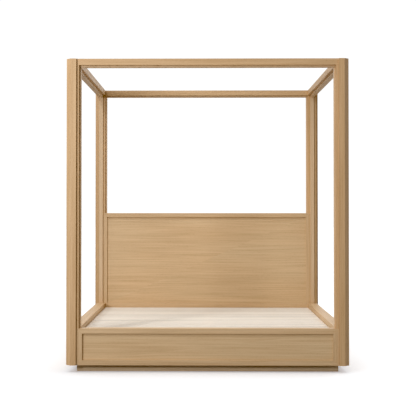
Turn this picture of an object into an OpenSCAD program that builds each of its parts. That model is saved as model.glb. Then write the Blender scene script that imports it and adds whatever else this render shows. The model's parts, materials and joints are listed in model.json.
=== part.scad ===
// Four poster canopy bed for a king mattress of 1930 by 2032 mm. All sizes are in millimetres.
// The origin is on the floor under the centre of the bed. +Z is up, the foot of the bed faces -Y,
// the headboard is at +Y, and left and right are as seen from the foot.
// The posts stop short of the floor: the bed stands on a plinth that is set back under the rails.

/* [Overall size] */
// Width over the posts
bed_w = 2130; // [1700:10:2200]
// Length over the posts
bed_l = 2232; // [2100:2:2300]
// Height of the posts and of the canopy
bed_h = 2362; // [1900:1:2500]
// Height of the top of the bed rails
rail_top_z = 328; // [318:1:380]
// Height of the top of the slats, on which the mattress lies
deck_z = 287; // [280:1:300]
// Height of the top of the headboard
headboard_z = 1187; // [900:1:1400]
// Height of the underside of the posts and rails, which is the height of the plinth
lift = 52; // [40:1:70]

/* [Posts] */
// Side of a square corner post
post_w = 76; // [70:1:90]
// Width of the bevel on a post's outer edge, measured along each face
post_bevel = 34; // [10:1:36]
// Distance that a post stands proud of the rails beside it
post_proud = 15; // [8:1:20]
// Width of the slim liners that line every opening
liner_w = 37; // [25:1:50]
// Thickness of the upright liners
jamb_liner_t = 14; // [8:1:18]

/* [Canopy] */
// Height of a canopy rail
canopy_rail_h = 48; // [44:1:60]
// Thickness of the liner under a canopy rail
canopy_liner_t = 17; // [8:1:20]

/* [Framed panels] */
// Depth of every rail from its outer face to its inner face
rail_d = 81; // [79:1:90]
// Width of the members that frame a panel
frame_w = 39; // [34:1:44]
// Width of the upright members that frame the panels of the bed rails
rail_stile_w = 46; // [39:1:52]
// Depth over which the corners of a frame are mitred
face_d = 30; // [28:1:34]
// Distance that a panel sits behind its frame
panel_recess = 14; // [8:1:16]
// Thickness of a panel
panel_t = 10; // [9:1:11]
// Depth of the grooves that hold a panel
groove_d = 8; // [5:1:10]
// Number of upright ribs between the two headboard panels
rib_n = 3; // [1:1:6]

/* [Slats and centre support] */
// Number of slats
slat_n = 18; // [12:1:20]
// Width of a slat
slat_w = 80; // [60:1:90]
// Thickness of a slat
slat_t = 18; // [16:1:22]
// Thickness of the cleats that carry the ends of the slats
cleat_t = 18; // [16:1:22]
// Height of the cleats
cleat_h = 50; // [45:1:60]
// Width of the centre beam
beam_w = 40; // [36:1:50]
// Height of the centre beam
beam_h = 100; // [80:1:110]
// Side of a square centre leg
leg_w = 50; // [40:1:60]
// Distance of each centre leg from the middle of the bed
leg_y = 340; // [200:10:600]

/* [Plinth] */
// Thickness of the plinth boards
plinth_t = 30; // [22:1:36]
// Side of the square blocks in the corners of the plinth
corner_block_w = 45; // [30:1:60]

/* [Hidden] */
$fn = 32;

oak = [0.77, 0.65, 0.49];
oak_dark = [0.70, 0.58, 0.43];
oak_panel = [0.74, 0.62, 0.46];
pale_wood = [0.90, 0.84, 0.76];
steel = [0.62, 0.63, 0.65];
zinc = [0.72, 0.72, 0.70];
dark_plastic = [0.16, 0.16, 0.17];

// Distance from the outside of the bed to the inner faces of its rails.
inner = post_proud + rail_d;
inner_w = bed_w - 2 * inner;
inner_l = bed_l - 2 * inner;
// Thickness of the strip that runs between a post and the inner face of the rails.
strip_t = inner - post_w;
// Depth in a rail at which the post's inner face and the inner board begin.
core_d = rail_d - strip_t;
// Distance from the outside to the middle of every rail, where bolts and liners are centred.
middle = post_proud + rail_d / 2;
// Length of the rails between the posts.
span_x = bed_w - 2 * post_w;
span_y = bed_l - 2 * post_w;

canopy_z = bed_h - canopy_rail_h;
rail_base_z = rail_top_z - frame_w;
headboard_base_z = headboard_z - frame_w;
slat_base_z = deck_z - slat_t;
beam_base_z = slat_base_z - beam_h;
slat_pitch = inner_l / slat_n;
slat_y = [for (i = [0:slat_n - 1]) -inner_l / 2 + slat_pitch * (i + 0.5)];
slat_end_gap = 3;
// Room left at the edges of a panel so that the wood can move in its groove.
groove_room = 0.5;
rib_w = 30;
headboard_front_panel_y = rail_d - panel_recess - panel_t;

// M8 bolts that hold the rails to the posts.
bolt_r = 4;
thread_r = 4.02;
clearance_r = 4.25;
bolt_tip = 36;
bolt_l = post_w + frame_w - bolt_tip;
washer_r = 8;
washer_t = 1.6;
bolt_head_r = 7.5;
bolt_head_t = 5.3;
// Heights of the bolts, which miss each other where they cross inside a post.
end_bolt_z = [lift + 58, lift + 178];
side_bolt_z = [lift + 88, lift + 208];

// Studs and barrel nuts that hold the canopy rails to the posts.
stud_l = 90;
stud_room = 4;
nut_r = 6;
nut_hole_r = 6.1;
nut_h = 20;
nut_from_tip = 80;
end_stud_z = bed_h - 34;
side_stud_z = bed_h - 14;

// Wood screws of one size, for the slats, the cleats and the beam hangers.
screw_r = 2.25;
screw_pilot_r = 2.27;
screw_hole_r = 2.5;
screw_head_r = 4.5;
screw_head_t = 3;
screw_l = 30;
screw_sink = 0.3;
sink_r = 4.75;
// Gap between the ends of the end cleats and the side cleats.
cleat_gap = 1;
// Depth of the holes drilled for screws in the inner boards.
pilot_depth = 14;
cleat_screw_z = slat_base_z - cleat_h + 10;
cleat_screw_y = [-680, -340, 0, 340, 680];
end_cleat_screw_x = [-750, -450, -150, 150, 450, 750];

hanger_t = 3;
hanger_wing = 32;
hanger_l = 45;
hanger_screw_x = beam_w / 2 + hanger_t + hanger_wing / 2;
hanger_screws = [
  for (x = [-hanger_screw_x, hanger_screw_x])
    for (z = [slat_base_z - 37, slat_base_z - 13])
      [x, z]
];
// Places of the screws that go into the inner boards, along each board and in height.
side_screws = [for (y = cleat_screw_y) [y, cleat_screw_z]];
end_screws = concat([for (x = end_cleat_screw_x) [x, cleat_screw_z]], hanger_screws);

spigot_r = 10;
spigot_h = 25;
spigot_room = 0.1;
leg_base_z = 22;
stem_r = 5;
stem_room = 0.05;
stem_base_z = 5.3;
stem_top_z = 70;
stem_bore_top_z = 84;
stem_nut_r = 9.5;
stem_nut_z = 13;
stem_nut_t = 6;
pad_r = 25;
pad_h = 12;
pad_edge = 3;
pad_neck_r = 11;
pad_socket_z = 5;

// Puts a shape drawn in the front left corner, with X and Y measured inwards from the outside
// of the bed, in any corner. side is -1 at the left and 1 at the right, end is -1 at the foot.
module at_corner(side, end) {
  translate([side * bed_w / 2, end * bed_l / 2, 0])
    mirror([side > 0 ? 1 : 0, 0, 0])
      mirror([0, end > 0 ? 1 : 0, 0])
        children();
}

module at_every_corner() {
  for (side = [-1, 1])
    for (end = [-1, 1])
      at_corner(side, end)
        children();
}

// Rails are drawn lengthwise along X, with Y as the depth from the outer face.
module at_foot() {
  translate([0, -bed_l / 2 + post_proud, 0])
    children();
}

module at_head() {
  mirror([0, 1, 0])
    at_foot()
      children();
}

// The end of the drawn rail at +X becomes the end at the foot of the bed.
module at_left() {
  translate([-bed_w / 2 + post_proud, 0, 0])
    rotate([0, 0, -90])
      children();
}

module at_right() {
  mirror([1, 0, 0])
    at_left()
      children();
}

// A cylinder along X whose near end is at the origin.
module rod_x(r, h) {
  rotate([0, 90, 0])
    cylinder(r = r, h = h);
}

// A cylinder along Y whose near end is at the origin.
module rod_y(r, h) {
  rotate([-90, 0, 0])
    cylinder(r = r, h = h);
}

// A slab with an outline in X and Z, from one depth to another.
module slab_xz(outline, from_y, to_y) {
  translate([0, to_y, 0])
    rotate([90, 0, 0])
      linear_extrude(to_y - from_y)
        polygon(outline);
}

module box(low, high) {
  translate(low)
    cube(high - low);
}

// ---- Posts and what lines them, drawn in the front left corner ----

module post_bores() {
  depth = post_w - bolt_tip + 1;
  for (z = end_bolt_z)
    translate([bolt_tip, middle, z])
      rod_x(thread_r, depth);
  for (z = side_bolt_z)
    translate([middle, bolt_tip, z])
      rod_y(thread_r, depth);
  translate([bolt_tip, middle, end_stud_z])
    rod_x(thread_r, depth);
  translate([middle, bolt_tip, side_stud_z])
    rod_y(thread_r, depth);
}

module post() {
  color(oak)
    difference() {
      translate([0, 0, lift])
        linear_extrude(bed_h - lift)
          polygon([[post_bevel, 0], [post_w, 0], [post_w, post_w], [0, post_w], [0, post_bevel]]);
      post_bores();
    }
}

// The angle that wraps the two inner faces of a post. Beside the headboard only the leg that
// faces the foot of the bed is left, so both_legs_z is where the other leg begins.
module corner_stile(both_legs_z) {
  color(oak_dark)
    union() {
      translate([0, 0, both_legs_z])
        linear_extrude(canopy_z - both_legs_z)
          polygon([[post_w, post_proud], [inner, post_proud], [inner, inner],
                   [post_proud, inner], [post_proud, post_w], [post_w, post_w]]);
      if (both_legs_z > rail_top_z)
        box([post_proud, post_w, rail_top_z], [post_w, inner, both_legs_z]);
    }
}

module jamb_liners(end_base_z) {
  top = canopy_z - canopy_liner_t;
  low = middle - liner_w / 2;
  high = middle + liner_w / 2;
  color(oak_dark) {
    box([inner, low, end_base_z], [inner + jamb_liner_t, high, top]);
    box([low, inner, rail_top_z], [high, inner + jamb_liner_t, top]);
  }
}

// ---- Canopy ----

// The plan of a rail whose inner corners are mitred to the next rail behind the posts.
module mitred_plan(span) {
  polygon([[-span / 2, 0], [span / 2, 0], [span / 2, core_d], [span / 2 - strip_t, rail_d],
           [-span / 2 + strip_t, rail_d], [-span / 2, core_d]]);
}

module canopy_rail(span, stud_z) {
  color(oak)
    difference() {
      translate([0, 0, canopy_z])
        linear_extrude(canopy_rail_h)
          mitred_plan(span);
      for (side = [-1, 1])
        mirror([side < 0 ? 1 : 0, 0, 0])
          translate([span / 2, rail_d / 2, stud_z]) {
            bore_l = stud_l - (post_w - bolt_tip) + stud_room;
            translate([-bore_l, 0, 0])
              rod_x(clearance_r, bore_l + 1);
            translate([post_w - bolt_tip - nut_from_tip, 0, -nut_h / 2])
              cylinder(r = nut_hole_r, h = canopy_rail_h);
          }
    }
}

module canopy_liner(length) {
  color(oak_dark)
    translate([-length / 2, (rail_d - liner_w) / 2, canopy_z - canopy_liner_t])
      cube([length, liner_w, canopy_liner_t]);
}

// ---- Bed rails: a frame with mitred corners around a panel, a deep top rail, and an inner board ----

// member_w is the width of the upright members at the ends of the panel.
module rail_panel_box(span, member_w, room) {
  half = span / 2 - member_w + groove_d + room;
  box([-half, panel_recess, lift + frame_w - groove_d - room],
      [half, panel_recess + panel_t, rail_base_z + groove_d + room]);
}

module rail_panel(span, member_w) {
  color(oak_panel)
    rail_panel_box(span, member_w, 0);
}

// The end at +X is mitred to the next rail. With square_end, the other end stops at a square
// shoulder against the headboard.
module rail_top(span, square_end) {
  half = span / 2;
  shoulder = square_end ? [[-half + strip_t, core_d]] : [];
  color(oak)
    difference() {
      union() {
        slab_xz([[-half, rail_top_z], [half, rail_top_z], [half - rail_stile_w, rail_base_z],
                 [-half + rail_stile_w, rail_base_z]], 0, face_d);
        translate([0, 0, rail_base_z])
          linear_extrude(frame_w)
            polygon(concat([[-half, face_d], [half, face_d], [half, core_d],
                            [half - strip_t, rail_d], [-half + strip_t, rail_d]],
                           shoulder, [[-half, core_d]]));
      }
      rail_panel_box(span, rail_stile_w, groove_room);
    }
}

module rail_bottom(span) {
  half = span / 2;
  color(oak)
    difference() {
      slab_xz([[-half, lift], [half, lift], [half - rail_stile_w, lift + frame_w],
               [-half + rail_stile_w, lift + frame_w]], 0, face_d);
      rail_panel_box(span, rail_stile_w, groove_room);
    }
}

module rail_stiles(span, bolt_heights) {
  half = span / 2;
  color(oak)
    for (side = [-1, 1])
      mirror([side < 0 ? 1 : 0, 0, 0])
        difference() {
          union() {
            slab_xz([[half, lift], [half, rail_top_z], [half - rail_stile_w, rail_base_z],
                     [half - rail_stile_w, lift + frame_w]], 0, face_d);
            box([half - frame_w, face_d, lift], [half, core_d, rail_base_z]);
          }
          rail_panel_box(span, rail_stile_w, groove_room);
          for (z = bolt_heights)
            translate([half - frame_w - 1, rail_d / 2, z])
              rod_x(clearance_r, frame_w + 2);
        }
}

// screws lists the places, along the board and in height, of the screws that go into it.
module rail_inner_board(length, screws) {
  color(oak_panel)
    difference() {
      box([-length / 2, core_d, lift], [length / 2, rail_d, rail_base_z]);
      for (place = screws)
        translate([place[0], rail_d - pilot_depth, place[1]])
          rod_y(screw_pilot_r, pilot_depth + 1);
    }
}

// ---- Headboard: a frame as deep as the rails, with a panel on each face ----

module headboard_panel_box(front_y, room) {
  half = span_x / 2 - frame_w + groove_d + room;
  box([-half, front_y, rail_top_z - groove_d - room],
      [half, front_y + panel_t, headboard_base_z + groove_d + room]);
}

module headboard_grooves() {
  headboard_panel_box(headboard_front_panel_y, groove_room);
  headboard_panel_box(panel_recess, groove_room);
}

module headboard_top_rail() {
  half = span_x / 2;
  color(oak)
    difference() {
      slab_xz([[-half, headboard_z], [half, headboard_z], [half - frame_w, headboard_base_z],
               [-half + frame_w, headboard_base_z]], 0, rail_d);
      headboard_grooves();
    }
}

module headboard_middle_rail() {
  half = span_x / 2 - frame_w;
  color(oak)
    difference() {
      box([-half, 0, rail_base_z], [half, rail_d, rail_top_z]);
      headboard_grooves();
      rail_panel_box(span_x, frame_w, groove_room);
    }
}

module headboard_bottom_rail() {
  half = span_x / 2 - frame_w;
  color(oak)
    difference() {
      box([-half, 0, lift], [half, face_d, lift + frame_w]);
      rail_panel_box(span_x, frame_w, groove_room);
    }
}

module headboard_stiles() {
  half = span_x / 2;
  color(oak)
    for (side = [-1, 1])
      mirror([side < 0 ? 1 : 0, 0, 0])
        difference() {
          slab_xz([[half, lift], [half, headboard_z], [half - frame_w, headboard_base_z],
                   [half - frame_w, lift]], 0, rail_d);
          headboard_grooves();
          rail_panel_box(span_x, frame_w, groove_room);
          for (z = end_bolt_z)
            translate([half - frame_w - 1, rail_d / 2, z])
              rod_x(clearance_r, frame_w + 2);
        }
}

module headboard_panel(front_y) {
  color(oak_panel)
    headboard_panel_box(front_y, 0);
}

module headboard_ribs() {
  rib_pitch = span_x / (rib_n + 1);
  depth = headboard_front_panel_y - panel_recess - panel_t;
  color(pale_wood)
    for (i = [1:rib_n])
      translate([-span_x / 2 + i * rib_pitch - rib_w / 2, panel_recess + panel_t, rail_top_z])
        cube([rib_w, depth, headboard_base_z - rail_top_z]);
}

// ---- Slats, their cleats and the centre support ----

// A wood screw that points down, with the top of its head at the origin.
module wood_screw() {
  translate([0, 0, -screw_head_t])
    cylinder(r = screw_head_r, h = screw_head_t);
  translate([0, 0, -screw_l])
    cylinder(r = screw_r, h = screw_l - screw_head_t);
}

// The hole that a wood screw needs in the piece that it holds down.
module screw_hole(thickness) {
  translate([0, 0, -thickness - 1])
    cylinder(r = screw_hole_r, h = thickness + 1);
  translate([0, 0, -screw_head_t - screw_sink])
    cylinder(r = sink_r, h = screw_head_t + screw_sink + 1);
}

// Copies of what points down, at every place where a screw holds a slat.
module at_slat_screws() {
  for (side = [-1, 1])
    for (y = slat_y)
      translate([side * (inner_w / 2 - cleat_t / 2), y, deck_z])
        children();
}

// The same for the screws that hold the cleats, which point outwards.
module at_cleat_screws() {
  for (side = [-1, 1])
    mirror([side > 0 ? 1 : 0, 0, 0])
      for (y = cleat_screw_y)
        translate([-inner_w / 2 + cleat_t, y, cleat_screw_z])
          rotate([0, 90, 0])
            children();
  for (end = [-1, 1])
    mirror([0, end > 0 ? 1 : 0, 0])
      for (x = end_cleat_screw_x)
        translate([x, -inner_l / 2 + cleat_t, cleat_screw_z])
          rotate([-90, 0, 0])
            children();
}

// The same for the screws that hold the beam hangers.
module at_hanger_screws() {
  for (end = [-1, 1])
    mirror([0, end > 0 ? 1 : 0, 0])
      for (place = hanger_screws)
        translate([place[0], -inner_l / 2 + cleat_t + hanger_t, place[1]])
          rotate([-90, 0, 0])
            children();
}

module wood_screws() {
  color(steel) {
    at_slat_screws()
      translate([0, 0, -screw_sink])
        wood_screw();
    at_cleat_screws()
      translate([0, 0, -screw_sink])
        wood_screw();
    at_hanger_screws()
      translate([0, 0, screw_head_t])
        wood_screw();
  }
}

module slats() {
  color(pale_wood)
    for (y = slat_y)
      difference() {
        translate([-inner_w / 2 + slat_end_gap, y - slat_w / 2, slat_base_z])
          cube([inner_w - 2 * slat_end_gap, slat_w, slat_t]);
        for (side = [-1, 1])
          translate([side * (inner_w / 2 - cleat_t / 2), y, deck_z])
            screw_hole(slat_t);
      }
}

module side_cleat() {
  box([-inner_w / 2, -inner_l / 2, slat_base_z - cleat_h],
      [-inner_w / 2 + cleat_t, inner_l / 2, slat_base_z]);
}

module end_cleat() {
  half = inner_w / 2 - cleat_t - cleat_gap;
  box([-half, -inner_l / 2, slat_base_z - cleat_h],
      [half, -inner_l / 2 + cleat_t, slat_base_z]);
}

module slat_cleats() {
  pilot_h = screw_l - slat_t + 1;
  color(pale_wood)
    for (i = [0, 1])
      difference() {
        union() {
          mirror([i, 0, 0])
            side_cleat();
          mirror([0, i, 0])
            end_cleat();
        }
        at_slat_screws()
          translate([0, 0, -slat_t - pilot_h])
            cylinder(r = screw_pilot_r, h = pilot_h + 1);
        at_cleat_screws()
          screw_hole(cleat_t);
        at_hanger_screws()
          translate([0, 0, -screw_l])
            cylinder(r = screw_pilot_r, h = screw_l);
      }
}

module centre_beam() {
  half = inner_l / 2 - cleat_t - hanger_t;
  color(pale_wood)
    difference() {
      box([-beam_w / 2, -half, beam_base_z], [beam_w / 2, half, slat_base_z]);
      for (y = [-leg_y, leg_y])
        translate([0, y, beam_base_z - 1])
          cylinder(r = spigot_r + spigot_room, h = spigot_h + 2);
    }
}

// A steel socket that holds one end of the centre beam, screwed through the cleat.
module beam_hanger() {
  half = beam_w / 2 + hanger_t;
  back = -inner_l / 2 + cleat_t;
  front = back + hanger_t;
  base = beam_base_z - hanger_t;
  difference() {
    union() {
      box([-half - hanger_wing, back, slat_base_z - cleat_h], [half + hanger_wing, front, slat_base_z]);
      box([-half, back, base], [half, front, slat_base_z]);
      box([-half, back, base], [half, front + hanger_l, beam_base_z]);
      for (side = [-1, 1])
        mirror([side > 0 ? 1 : 0, 0, 0])
          box([-half, back, base], [-beam_w / 2, front + hanger_l, slat_base_z]);
    }
    at_hanger_screws()
      translate([0, 0, -hanger_t - 1])
        cylinder(r = screw_hole_r, h = hanger_t + 2);
  }
}

module beam_hangers() {
  color(zinc)
    for (i = [0, 1])
      mirror([0, i, 0])
        beam_hanger();
}

module centre_legs() {
  color(pale_wood)
    for (y = [-leg_y, leg_y])
      translate([0, y, 0])
        difference() {
          union() {
            box([-leg_w / 2, -leg_w / 2, leg_base_z], [leg_w / 2, leg_w / 2, beam_base_z]);
            translate([0, 0, beam_base_z])
              cylinder(r = spigot_r, h = spigot_h);
          }
          translate([0, 0, leg_base_z - 1])
            cylinder(r = stem_r + stem_room, h = stem_bore_top_z - leg_base_z + 1);
        }
}

// The screw of a levelling foot, with the nut that a spanner turns.
module leveller_stem(y) {
  color(zinc)
    translate([0, y, 0]) {
      translate([0, 0, stem_base_z])
        cylinder(r = stem_r, h = stem_top_z - stem_base_z);
      translate([0, 0, stem_nut_z])
        cylinder(r = stem_nut_r, h = stem_nut_t, $fn = 6);
    }
}

// The swivelling pad on which a levelling foot stands.
module leveller_pad(y) {
  color(dark_plastic)
    translate([0, y, 0])
      difference() {
        rotate_extrude()
          polygon([[0, 0], [pad_r, 0], [pad_r, pad_edge], [pad_neck_r, pad_h], [0, pad_h]]);
        translate([0, 0, pad_socket_z])
          cylinder(r = stem_r + stem_room, h = pad_h);
      }
}

// ---- Plinth ----

// The board across the foot of the bed, which runs the full width of the plinth.
module plinth_end_board() {
  color(oak_dark)
    box([-bed_w / 2 + post_w, -bed_l / 2 + post_w, 0],
        [bed_w / 2 - post_w, -bed_l / 2 + post_w + plinth_t, lift]);
}

// The board along the left, between the two end boards.
module plinth_side_board() {
  color(oak_dark)
    box([-bed_w / 2 + post_w, -bed_l / 2 + post_w + plinth_t, 0],
        [-bed_w / 2 + post_w + plinth_t, bed_l / 2 - post_w - plinth_t, lift]);
}

module plinth_corner_blocks() {
  start = post_w + plinth_t;
  color(pale_wood)
    at_every_corner()
      translate([start, start, 0])
        cube([corner_block_w, corner_block_w, lift]);
}

// ---- Bolts that hold the rails to the posts ----

module post_bolt() {
  cylinder(r = bolt_r, h = bolt_l);
  translate([0, 0, bolt_l])
    cylinder(r = washer_r, h = washer_t);
  translate([0, 0, bolt_l + washer_t])
    cylinder(r = bolt_head_r, h = bolt_head_t, $fn = 6);
}

module post_bolts() {
  color(zinc)
    at_every_corner() {
      for (z = end_bolt_z)
        translate([bolt_tip, middle, z])
          rotate([0, 90, 0])
            post_bolt();
      for (z = side_bolt_z)
        translate([middle, bolt_tip, z])
          rotate([-90, 0, 0])
            post_bolt();
    }
}

module canopy_bolts() {
  color(zinc)
    at_every_corner() {
      translate([bolt_tip, middle, end_stud_z])
        rod_x(bolt_r, stud_l);
      translate([middle, bolt_tip, side_stud_z])
        rod_y(bolt_r, stud_l);
    }
}

// A barrel nut stands upright in its rail and is bored across for the stud.
module barrel_nut(turn) {
  rotate([0, 0, turn])
    difference() {
      translate([0, 0, -nut_h / 2])
        cylinder(r = nut_r, h = nut_h);
      translate([-nut_r - 1, 0, 0])
        rod_x(thread_r, 2 * nut_r + 2);
    }
}

module barrel_nuts() {
  nut = bolt_tip + nut_from_tip;
  color(steel)
    at_every_corner() {
      translate([nut, middle, end_stud_z])
        barrel_nut(0);
      translate([middle, nut, side_stud_z])
        barrel_nut(90);
    }
}

at_corner(-1, -1) post();  // post_front_left
at_corner(1, -1) post();  // post_front_right
at_corner(-1, 1) post();  // post_back_left
at_corner(1, 1) post();  // post_back_right
at_corner(-1, -1) corner_stile(rail_top_z);  // corner_stile_front_left
at_corner(1, -1) corner_stile(rail_top_z);  // corner_stile_front_right
at_corner(-1, 1) corner_stile(headboard_z);  // corner_stile_back_left
at_corner(1, 1) corner_stile(headboard_z);  // corner_stile_back_right
at_corner(-1, -1) jamb_liners(rail_top_z);  // jamb_liners_front_left
at_corner(1, -1) jamb_liners(rail_top_z);  // jamb_liners_front_right
at_corner(-1, 1) jamb_liners(headboard_z);  // jamb_liners_back_left
at_corner(1, 1) jamb_liners(headboard_z);  // jamb_liners_back_right
at_foot() canopy_rail(span_x, end_stud_z);  // canopy_rail_front
at_head() canopy_rail(span_x, end_stud_z);  // canopy_rail_back
at_left() canopy_rail(span_y, side_stud_z);  // canopy_rail_left
at_right() canopy_rail(span_y, side_stud_z);  // canopy_rail_right
union() {  // canopy_liners_front_back
  at_foot() canopy_liner(inner_w);
  at_head() canopy_liner(inner_w);
}
union() {  // canopy_liners_left_right
  at_left() canopy_liner(inner_l);
  at_right() canopy_liner(inner_l);
}
at_foot() rail_top(span_x, false);  // footboard_top_rail
at_foot() rail_bottom(span_x);  // footboard_bottom_rail
at_foot() rail_stiles(span_x, end_bolt_z);  // footboard_stiles
at_foot() rail_panel(span_x, rail_stile_w);  // footboard_panel
at_foot() rail_inner_board(span_x, end_screws);  // footboard_inner_board
at_left() rail_top(span_y, true);  // left_rail_top
at_left() rail_bottom(span_y);  // left_rail_bottom
at_left() rail_stiles(span_y, side_bolt_z);  // left_rail_stiles
at_left() rail_panel(span_y, rail_stile_w);  // left_rail_panel
at_left() rail_inner_board(inner_l, side_screws);  // left_rail_inner_board
at_right() rail_top(span_y, true);  // right_rail_top
at_right() rail_bottom(span_y);  // right_rail_bottom
at_right() rail_stiles(span_y, side_bolt_z);  // right_rail_stiles
at_right() rail_panel(span_y, rail_stile_w);  // right_rail_panel
at_right() rail_inner_board(inner_l, side_screws);  // right_rail_inner_board
at_head() headboard_top_rail();
at_head() headboard_middle_rail();
at_head() headboard_bottom_rail();
at_head() headboard_stiles();
at_head() headboard_panel(headboard_front_panel_y);  // headboard_front_panel
at_head() headboard_panel(panel_recess);  // headboard_back_panel
at_head() rail_panel(span_x, frame_w);  // headboard_lower_panel
at_head() rail_inner_board(span_x - 2 * frame_w, end_screws);  // headboard_inner_board
at_head() headboard_ribs();
slat_cleats();
slats();
wood_screws();
centre_beam();
beam_hangers();
centre_legs();
leveller_stem(-leg_y);  // leveller_stem_front
leveller_pad(-leg_y);  // leveller_pad_front
leveller_stem(leg_y);  // leveller_stem_back
leveller_pad(leg_y);  // leveller_pad_back
plinth_end_board();  // plinth_front
mirror([0, 1, 0]) plinth_end_board();  // plinth_back
plinth_side_board();  // plinth_left
mirror([1, 0, 0]) plinth_side_board();  // plinth_right
plinth_corner_blocks();
post_bolts();
canopy_bolts();
barrel_nuts();
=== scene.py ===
"""Four poster canopy bed: oak, pale slats and hardware, soft studio light and the camera.

Everything is in metres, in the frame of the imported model: the foot of the bed is at -Y, +Z is up.
"""

import json
import math

import bpy
from mathutils import Matrix, Vector

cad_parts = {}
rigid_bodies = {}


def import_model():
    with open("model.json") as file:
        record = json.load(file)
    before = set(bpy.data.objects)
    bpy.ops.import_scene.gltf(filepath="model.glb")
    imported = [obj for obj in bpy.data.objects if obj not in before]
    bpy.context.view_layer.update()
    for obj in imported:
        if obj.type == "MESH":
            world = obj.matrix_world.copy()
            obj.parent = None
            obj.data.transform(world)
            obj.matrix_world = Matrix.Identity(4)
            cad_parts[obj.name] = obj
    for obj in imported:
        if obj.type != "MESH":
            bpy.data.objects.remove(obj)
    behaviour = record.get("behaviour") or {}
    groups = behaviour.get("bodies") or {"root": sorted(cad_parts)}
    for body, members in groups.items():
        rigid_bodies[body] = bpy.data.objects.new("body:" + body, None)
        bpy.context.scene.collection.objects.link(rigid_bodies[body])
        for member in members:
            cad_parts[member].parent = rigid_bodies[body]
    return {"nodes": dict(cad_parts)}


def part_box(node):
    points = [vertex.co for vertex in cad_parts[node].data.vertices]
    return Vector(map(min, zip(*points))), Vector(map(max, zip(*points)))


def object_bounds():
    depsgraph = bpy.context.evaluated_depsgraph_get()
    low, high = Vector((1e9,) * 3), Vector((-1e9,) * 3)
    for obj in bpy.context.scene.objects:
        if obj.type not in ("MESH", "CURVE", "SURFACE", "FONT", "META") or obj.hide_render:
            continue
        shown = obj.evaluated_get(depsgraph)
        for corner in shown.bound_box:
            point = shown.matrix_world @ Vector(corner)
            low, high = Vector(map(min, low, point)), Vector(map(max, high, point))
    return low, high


# Grain runs along the posts, stiles and legs, and lengthwise in everything else.
UPRIGHT_WORDS = ("post_front", "post_back", "stile", "jamb", "legs", "ribs", "blocks")
CROSSWISE_NODES = ("slats", "slat_cleats")
HARDWARE_NODES = (
    "wood_screws",
    "post_bolts",
    "canopy_bolts",
    "barrel_nuts",
    "beam_hangers",
    "leveller_stem_front",
    "leveller_stem_back",
)
PLASTIC_NODES = ("leveller_pad_front", "leveller_pad_back")
SOFTWOOD_NODES = (
    "slat_cleats",
    "centre_beam",
    "centre_legs",
    "headboard_ribs",
    "plinth_corner_blocks",
)
# How the names of the framed panels' pieces begin.
FRAMED_PARTS = ("footboard", "headboard", "left_rail", "right_rail")

# Tones of oak, from 0 to 255: the light and the dark of the grain, and the pores.
OAK_TONES = {
    "post_oak": ((213, 182, 145), (187, 154, 116), (140, 108, 72)),
    "frame_oak": ((217, 189, 154), (191, 161, 125), (144, 113, 78)),
    "veneer_oak": ((221, 194, 158), (196, 166, 129), (150, 118, 82)),
    # Liners: a little paler than the frame as their own colour, and paler still as painted light
    # that stands in for light they catch from inside the bed.
    "liner_oak_paler_with_painted_light": ((224, 197, 164), (199, 170, 136), (153, 122, 88)),
    # Plinth: less saturated as its own colour, and much paler as painted light that stands in for
    # light thrown up from the floor into its shaded recess.
    "plinth_oak_with_painted_light": ((238, 215, 186), (214, 189, 158), (168, 140, 108)),
}

# How finely each layer of the wood is drawn, in cycles a metre: along the grain, across it, and
# into the wood.
WANDER_SCALES = (0.9, 6.0, 6.0)
RING_SCALES = (1.8, 190.0, 3.0)
BAND_SCALES = (1.1, 34.0, 2.0)
TONE_SCALES = (0.8, 5.0, 5.0)
FIBRE_SCALES = (28.0, 1500.0, 1500.0)
PORE_SCALES = (55.0, 1100.0, 1100.0)

# How far the rings wander from straight, in metres.
WANDER_REACH = 0.022
# The slant of the rings: how much of the way across and into the wood they count.
RING_SLANT = (0.82, 0.57)
# The part that broad bands have in the tone, against fine rings.
BAND_SHARE = 0.4
# How strongly single fibres change the tone.
FIBRE_SHADE = 0.35
# What the warmest places of a board are multiplied by.
WARM_TINT = (1.025, 0.995, 0.975, 1.0)

# Shifts of the grain, in metres, along, across and into the wood: by node, and by board.
NODE_SHIFTS = (3.71, 1.37, 0.89)
BOARD_SHIFTS = (19.0, 7.3, 3.1)

# How wide the eased edges are, in metres.
STEEL_EDGE = 0.0004
PLASTIC_EDGE = 0.0008
SLAT_EDGE = 0.0025
PINE_EDGE = 0.0015
VENEER_EDGE = 0.0008
OAK_EDGE = 0.0012

WHITE = (1.0, 1.0, 1.0, 1.0)

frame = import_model()
cad_low, cad_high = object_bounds()


# ---- Node trees ----


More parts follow.
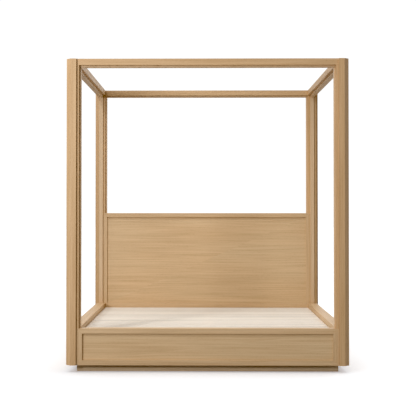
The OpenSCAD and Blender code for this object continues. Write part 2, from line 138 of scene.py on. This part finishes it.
class Tree:
    """A short way to write the nodes of a material or world.

    Each call adds a node and returns its output.
    """

    def __init__(self, owner):
        self.owner = owner
        owner.use_nodes = True
        self.nodes = owner.node_tree.nodes
        self.links = owner.node_tree.links
        self.nodes.clear()

    def add(self, kind, inputs, output=0, **settings):
        made = self.nodes.new(kind)
        for key, value in settings.items():
            setattr(made, key, value)
        for key, value in inputs.items():
            if isinstance(value, bpy.types.NodeSocket):
                self.links.new(value, made.inputs[key])
            else:
                made.inputs[key].default_value = value
        return made.outputs[output] if made.outputs else None

    def math(self, operation, a, b=0.0, clamp=False):
        return self.add("ShaderNodeMath", {0: a, 1: b}, operation=operation, use_clamp=clamp)

    def map_range(self, value, low, high, to_low=0.0, to_high=1.0):
        inputs = {
            "Value": value,
            "From Min": low,
            "From Max": high,
            "To Min": to_low,
            "To Max": to_high,
        }
        return self.add("ShaderNodeMapRange", inputs, clamp=True)

    def mix(self, factor, a, b, blend="MIX"):
        inputs = {"Factor": factor, 6: a, 7: b}
        return self.add("ShaderNodeMix", inputs, output=2, data_type="RGBA", blend_type=blend)

    def mix_numbers(self, factor, a, b):
        return self.add("ShaderNodeMix", {"Factor": factor, 2: a, 3: b}, data_type="FLOAT")

    def stretch(self, vector, scales):
        return self.add("ShaderNodeVectorMath", {0: vector, 1: scales}, operation="MULTIPLY")

    def noise(self, vector, detail=3.0, roughness=0.5, distortion=0.0):
        inputs = {
            "Vector": vector,
            "Scale": 1.0,
            "Detail": detail,
            "Roughness": roughness,
            "Distortion": distortion,
        }
        return self.add("ShaderNodeTexNoise", inputs)

    def finish(self, surface):
        self.add("ShaderNodeOutputMaterial", {"Surface": surface})
        return self.owner


def material_tree(name):
    return Tree(bpy.data.materials.new(name))


def srgb(red, green, blue):
    """A colour given as it looks on screen, from 0 to 255, as the linear colour that shaders use."""
    out = []
    for part in (red, green, blue):
        part /= 255
        out.append(part / 12.92 if part <= 0.04045 else ((part + 0.055) / 1.055) ** 2.4)
    return (*out, 1.0)


def grain_axes(node):
    """The axis, 0 to 2, along which the wood of a node grows, and the two across it."""
    low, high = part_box(node)
    size = high - low
    if any(word in node for word in UPRIGHT_WORDS):
        along = 2
    elif node in CROSSWISE_NODES:
        along = 0
    else:
        along = 0 if size.x > size.y else 1
    across = [axis for axis in (0, 1, 2) if axis != along]
    return along, across[0], across[1]


def grain_coordinates(tree, axes, seed, board):
    """The places along and across the grain, in metres, shifted so that no two pieces match.

    board is a random number from 0 to 1, its own for each board of a node.
    """
    place = tree.add("ShaderNodeTexCoord", {}, output="Object")
    split = tree.nodes.new("ShaderNodeSeparateXYZ")
    tree.links.new(place, split.inputs[0])
    spots = []
    for axis, node_shift, board_shift in zip(axes, NODE_SHIFTS, BOARD_SHIFTS):
        shift = tree.math("ADD", tree.math("MULTIPLY", board, board_shift), seed * node_shift)
        spots.append(tree.math("ADD", split.outputs[axis], shift))
    return spots


def scaled(tree, along, side, depth, scales):
    """A texture vector with its own scale, in cycles a metre, along, across and into the wood."""
    parts = [tree.math("MULTIPLY", part, scale) for part, scale in zip((along, side, depth), scales)]
    return tree.add("ShaderNodeCombineXYZ", {0: parts[0], 1: parts[1], 2: parts[2]})


def wood(name, axes, seed, light, dark, pore, figure, contrast, roughness, pore_depth):
    """Straight-grained wood: growth rings, broad tone, pores and fine fibres, as nodes.

    light, dark and pore are colours. figure is how strongly the growth rings show, and contrast
    how far the tone of one board is from the next.
    """
    tree = material_tree(name)
    board = tree.add("ShaderNodeNewGeometry", {}, output="Random Per Island")
    along, side, depth = grain_coordinates(tree, axes, seed, board)

    # The rings lie at a slant through the board and wander by some millimetres along it.
    wander = tree.noise(scaled(tree, along, side, depth, WANDER_SCALES), detail=2.0)
    wander = tree.math("MULTIPLY", tree.math("SUBTRACT", wander, 0.5), WANDER_REACH)
    slant_side, slant_depth = RING_SLANT
    slanted = tree.math(
        "ADD",
        tree.math("MULTIPLY", side, slant_side),
        tree.math("MULTIPLY", depth, slant_depth),
    )
    ring_place = tree.math("ADD", slanted, wander)
    rings = tree.noise(scaled(tree, along, ring_place, depth, RING_SCALES), roughness=0.6)
    bands = tree.noise(scaled(tree, along, ring_place, depth, BAND_SCALES), detail=2.0)
    tone = tree.noise(scaled(tree, along, side, depth, TONE_SCALES), detail=2.0)
    fibres = tree.noise(scaled(tree, along, side, depth, FIBRE_SCALES), detail=2.0)
    pores = tree.noise(scaled(tree, along, side, depth, PORE_SCALES), detail=1.0)

    ring_shade = tree.map_range(rings, 0.34, 0.68)
    band_shade = tree.map_range(bands, 0.32, 0.70)
    shade = tree.mix_numbers(BAND_SHARE, ring_shade, band_shade)
    shade = tree.math("ADD", tree.math("MULTIPLY", shade, figure), 0.5 * (1 - figure))
    fibre_shade = tree.math("MULTIPLY", tree.math("SUBTRACT", fibres, 0.5), FIBRE_SHADE)
    shade = tree.math("ADD", shade, fibre_shade, clamp=True)
    colour = tree.mix(shade, light, dark)
    warmth = tree.map_range(tone, 0.3, 0.7)
    warmer = tree.mix(1.0, colour, WARM_TINT, blend="MULTIPLY")
    colour = tree.mix(warmth, colour, warmer)
    lift = tree.map_range(board, 0.0, 1.0, 1.0 - contrast, 1.0 + contrast)
    tint = tree.add("ShaderNodeCombineColor", {0: lift, 1: lift, 2: lift})
    colour = tree.mix(1.0, colour, tint, blend="MULTIPLY")

    # Pores are short dark dashes, thickest in the dark part of each ring.
    dash = tree.map_range(pores, 0.60, 0.72)
    dash = tree.math("MULTIPLY", dash, tree.map_range(ring_shade, 0.25, 0.9, 0.25, 1.0))
    colour = tree.mix(tree.math("MULTIPLY", dash, 0.55), colour, pore)

    height = tree.math("SUBTRACT", tree.math("MULTIPLY", fibres, 0.25), dash)
    bump = tree.add("ShaderNodeBump", {"Strength": 0.55, "Distance": pore_depth, "Height": height})
    gloss = tree.math("ADD", tree.math("MULTIPLY", shade, 0.08), roughness - 0.04)
    gloss = tree.math("ADD", gloss, tree.math("MULTIPLY", dash, 0.2))
    shader = tree.add(
        "ShaderNodeBsdfPrincipled",
        {"Base Color": colour, "Roughness": gloss, "Normal": bump, "Specular IOR Level": 0.4},
    )
    return tree.finish(shader)


def oak(node, seed, tone, contrast, pore_depth):
    """Light oak with a satin oil finish. tone is a name in OAK_TONES."""
    light, dark, pore = (srgb(*colour) for colour in OAK_TONES[tone])
    return wood(
        f"{tone}_{node}",
        grain_axes(node),
        seed,
        light=light,
        dark=dark,
        pore=pore,
        figure=0.8,
        contrast=contrast,
        roughness=0.46,
        pore_depth=pore_depth,
    )


def pale_slats(node, seed):
    """Sanded pale softwood, a little different in every slat."""
    return wood(
        f"pale_{node}",
        grain_axes(node),
        seed,
        light=srgb(248, 242, 232),
        dark=srgb(240, 230, 216),
        pore=srgb(214, 196, 172),
        figure=0.7,
        contrast=0.14,
        roughness=0.55,
        pore_depth=0.0001,
    )


def softwood(node, seed):
    """Planed pine of the parts that don't show."""
    return wood(
        f"pine_{node}",
        grain_axes(node),
        seed,
        light=srgb(231, 206, 168),
        dark=srgb(206, 170, 122),
        pore=srgb(176, 130, 82),
        figure=1.0,
        contrast=0.05,
        roughness=0.6,
        pore_depth=0.0001,
    )


def zinc_steel():
    """Bright zinc plate with the cloudy look of plating and fine scratches."""
    tree = material_tree("zinc_steel")
    place = tree.add("ShaderNodeTexCoord", {}, output="Object")
    clouds = tree.noise(tree.stretch(place, (160.0, 160.0, 160.0)), detail=4.0)
    scratches = tree.noise(tree.stretch(place, (3000.0, 90.0, 900.0)), detail=2.0)
    colour = tree.mix(clouds, srgb(196, 198, 202), srgb(172, 176, 178))
    gloss = tree.math("ADD", tree.math("MULTIPLY", clouds, 0.16), 0.24)
    bump = tree.add("ShaderNodeBump", {"Strength": 0.3, "Distance": 0.00005, "Height": scratches})
    shader = tree.add(
        "ShaderNodeBsdfPrincipled",
        {"Base Color": colour, "Metallic": 1.0, "Roughness": gloss, "Normal": bump},
    )
    return tree.finish(shader)


def foot_plastic():
    """Dark moulded plastic with a fine spark-eroded texture."""
    tree = material_tree("foot_plastic")
    place = tree.add("ShaderNodeTexCoord", {}, output="Object")
    grit = tree.noise(tree.stretch(place, (1800.0, 1800.0, 1800.0)), detail=2.0)
    colour = tree.mix(grit, srgb(38, 38, 40), srgb(50, 50, 52))
    bump = tree.add("ShaderNodeBump", {"Strength": 0.4, "Distance": 0.0001, "Height": grit})
    shader = tree.add(
        "ShaderNodeBsdfPrincipled",
        {"Base Color": colour, "Roughness": 0.62, "Normal": bump},
    )
    return tree.finish(shader)


# ---- Edges ----


def ease_edges(piece, width):
    """Rounds a CAD node's sharp edges a little, as sanding does, without changing its mesh."""
    weld = piece.modifiers.new("weld", "WELD")
    weld.merge_threshold = 0.00001
    bevel = piece.modifiers.new("eased_edges", "BEVEL")
    bevel.width = width
    bevel.segments = 2
    bevel.limit_method = "ANGLE"
    bevel.angle_limit = math.radians(40)
    bevel.miter_outer = "MITER_ARC"
    bevel.harden_normals = True


def look_of(name, seed, steel, plastic):
    """The material of a CAD node, and how wide its eased edges are."""
    if name in HARDWARE_NODES:
        return steel, STEEL_EDGE
    if name in PLASTIC_NODES:
        return plastic, PLASTIC_EDGE
    if name == "slats":
        return pale_slats(name, seed), SLAT_EDGE
    if name in SOFTWOOD_NODES:
        return softwood(name, seed), PINE_EDGE
    # Liners get a paler oak: partly their own colour, partly painted light.
    if "liners" in name:
        return oak(name, seed, "liner_oak_paler_with_painted_light", contrast=0.02, pore_depth=0.0002), OAK_EDGE
    # The plinth gets a paler oak: partly its own colour, partly painted light standing in for floor
    # bounce.
    if name.startswith("plinth"):
        return oak(name, seed, "plinth_oak_with_painted_light", contrast=0.02, pore_depth=0.0002), OAK_EDGE
    if name.endswith(("panel", "inner_board")):
        return oak(name, seed, "veneer_oak", contrast=0.0, pore_depth=0.0002), VENEER_EDGE
    if name.startswith(FRAMED_PARTS):
        return oak(name, seed, "frame_oak", contrast=0.03, pore_depth=0.0003), OAK_EDGE
    return oak(name, seed, "post_oak", contrast=0.03, pore_depth=0.0003), OAK_EDGE


def dress_frame():
    """Gives every CAD node its material and its eased edges."""
    steel = zinc_steel()
    plastic = foot_plastic()
    for seed, (name, piece) in enumerate(sorted(frame["nodes"].items()), start=1):
        material, edge = look_of(name, seed, steel, plastic)
        piece.data.materials.clear()
        piece.data.materials.append(material)
        ease_edges(piece, edge)


# ---- Studio ----


def floor_sheet():
    """A plain white floor, far wider than the camera sees, just under the feet.

    The camera sees it whiter than the light that it gives back to the bed, and its white is a
    little cool, to balance the warm light that the wood throws on it.
    """
    tree = material_tree("white_floor")
    bounce = tree.add("ShaderNodeBsdfDiffuse", {"Color": (0.52, 0.52, 0.52, 1.0)})
    white = tree.add("ShaderNodeBsdfDiffuse", {"Color": (0.94, 0.98, 1.0, 1.0)})
    glow = tree.add("ShaderNodeEmission", {"Color": (1.0, 0.94, 0.96, 1.0), "Strength": 0.307})
    seen = tree.add("ShaderNodeAddShader", {0: white, 1: glow})
    camera_ray = tree.add("ShaderNodeLightPath", {}, output="Is Camera Ray")
    surface = tree.add("ShaderNodeMixShader", {0: camera_ray, 1: bounce, 2: seen})
    half, level = 60.0, -0.0005
    mesh = bpy.data.meshes.new("floor")
    corners = [(-half, -half, 0), (half, -half, 0), (half, half, 0), (-half, half, 0)]
    mesh.from_pydata(corners, [], [(0, 1, 2, 3)])
    floor = bpy.data.objects.new("floor", mesh)
    floor.location.z = level
    floor.data.materials.append(tree.finish(surface))
    bpy.context.scene.collection.objects.link(floor)
    return floor


def place_light(data, place, target):
    """Puts a light at place and turns it to shine at target."""
    light = bpy.data.objects.new(data.name, data)
    light.location = place
    light.rotation_euler = (Vector(target) - Vector(place)).to_track_quat("-Z", "Y").to_euler()
    bpy.context.scene.collection.objects.link(light)


def soft_box(name, place, target, size, power):
    """A square white area light. power is in watts."""
    data = bpy.data.lights.new(name, "AREA")
    data.size = size
    data.energy = power
    place_light(data, place, target)


def soft_spot(name, place, target, radius, power, half_angle):
    """A spot light whose beam fades out evenly from its middle to its edge."""
    data = bpy.data.lights.new(name, "SPOT")
    data.shadow_soft_size = radius
    data.energy = power
    data.spot_size = math.radians(2 * half_angle)
    data.spot_blend = 1.0
    place_light(data, place, target)


def white_world(lobes):
    """White all round to the camera, and lit by a few broad soft lobes.

    Each lobe is a direction and the brightness in its middle.
    """
    world = bpy.data.worlds.new("studio")
    bpy.context.scene.world = world
    tree = Tree(world)
    direction = tree.add("ShaderNodeTexCoord", {}, output="Generated")
    sharpness = 3.0
    brightness_seen = 1.05
    total = 0.0
    for towards, brightness in lobes:
        towards = Vector(towards).normalized()
        both = {0: direction, 1: towards}
        facing = tree.add("ShaderNodeVectorMath", both, output=1, operation="DOT_PRODUCT")
        lobe = tree.math("POWER", tree.math("MAXIMUM", facing, 0.0), sharpness)
        total = tree.math("ADD", tree.math("MULTIPLY", lobe, brightness), total)
    camera_ray = tree.add("ShaderNodeLightPath", {}, output="Is Camera Ray")
    strength = tree.mix_numbers(camera_ray, total, brightness_seen)
    background = tree.add("ShaderNodeBackground", {"Color": WHITE, "Strength": strength})
    tree.add("ShaderNodeOutputWorld", {"Surface": background})


def spare_floor(floor):
    """Keeps the lamps off the floor, so that the bed throws no hard shadow on it."""
    spared = bpy.data.collections.new("spared_floor")
    spared.objects.link(floor)
    spared.collection_objects[0].light_linking.link_state = "EXCLUDE"
    for thing in bpy.context.scene.objects:
        if thing.type == "LIGHT":
            thing.light_linking.receiver_collection = spared


def studio():
    """A white surround, a white floor, three lamps at the front left and one above the bed."""
    overhead = ((0.0, 0.0, 1.0), 0.93)
    behind_right = ((1.0, 1.0, 0.3), 1.60)
    behind_left = ((-1.0, 1.0, 0.3), 0.90)
    front_left = ((-0.7, -1.0, 1.0), 0.70)
    white_world((overhead, behind_right, behind_left, front_left))
    floor = floor_sheet()
    soft_box("key", (-4.65, -6.9, 2.7), (0.0, 0.0, 0.9), 1.2, 156)
    soft_box("high", (-2.5, -4.0, 5.5), (0.0, 0.0, 1.1), 1.2, 80)
    soft_spot("canopy_key", (-4.4, -6.1, 2.3), (0.0, 0.0, 1.9), 0.5, 230, 22)
    soft_spot("headboard_top", (0.0, -0.2, 3.4), (0.0, 0.9, 0.6), 0.2, 55, 40)
    spare_floor(floor)


def picture_settings():
    """A plain display transform with slightly deeper blacks."""
    view = bpy.context.scene.view_settings
    view.view_transform = "Standard"
    view.look = "None"
    view.use_curve_mapping = True
    view.curve_mapping.black_level = (0.05, 0.05, 0.05)


# ---- Camera ----


def camera():
    """The view from the foot of the bed, with a long lens at half the height of the canopy.

    Places are in metres and turns in radians. The lens shift is only what the framing needs.
    """
    sideways, distance, height = -0.0324, 7.8086, 1.2288
    yaw, pitch, roll = -0.01337, 0.01678, 0.00023
    data = bpy.data.cameras.new("camera")
    data.sensor_width = 36.0
    data.lens = 89.964
    data.shift_x = 0.04516
    data.shift_y = -0.04015
    data.clip_end = 200.0
    eye = bpy.data.objects.new("camera", data)
    turn = Matrix.Rotation(-yaw, 4, "Z") @ Matrix.Rotation(math.pi / 2 + pitch, 4, "X")
    place = Matrix.Translation((sideways, cad_low.y - distance, height))
    eye.matrix_world = place @ turn @ Matrix.Rotation(roll, 4, "Z")
    bpy.context.scene.collection.objects.link(eye)
    bpy.context.scene.camera = eye


camera()
dress_frame()
studio()
picture_settings()
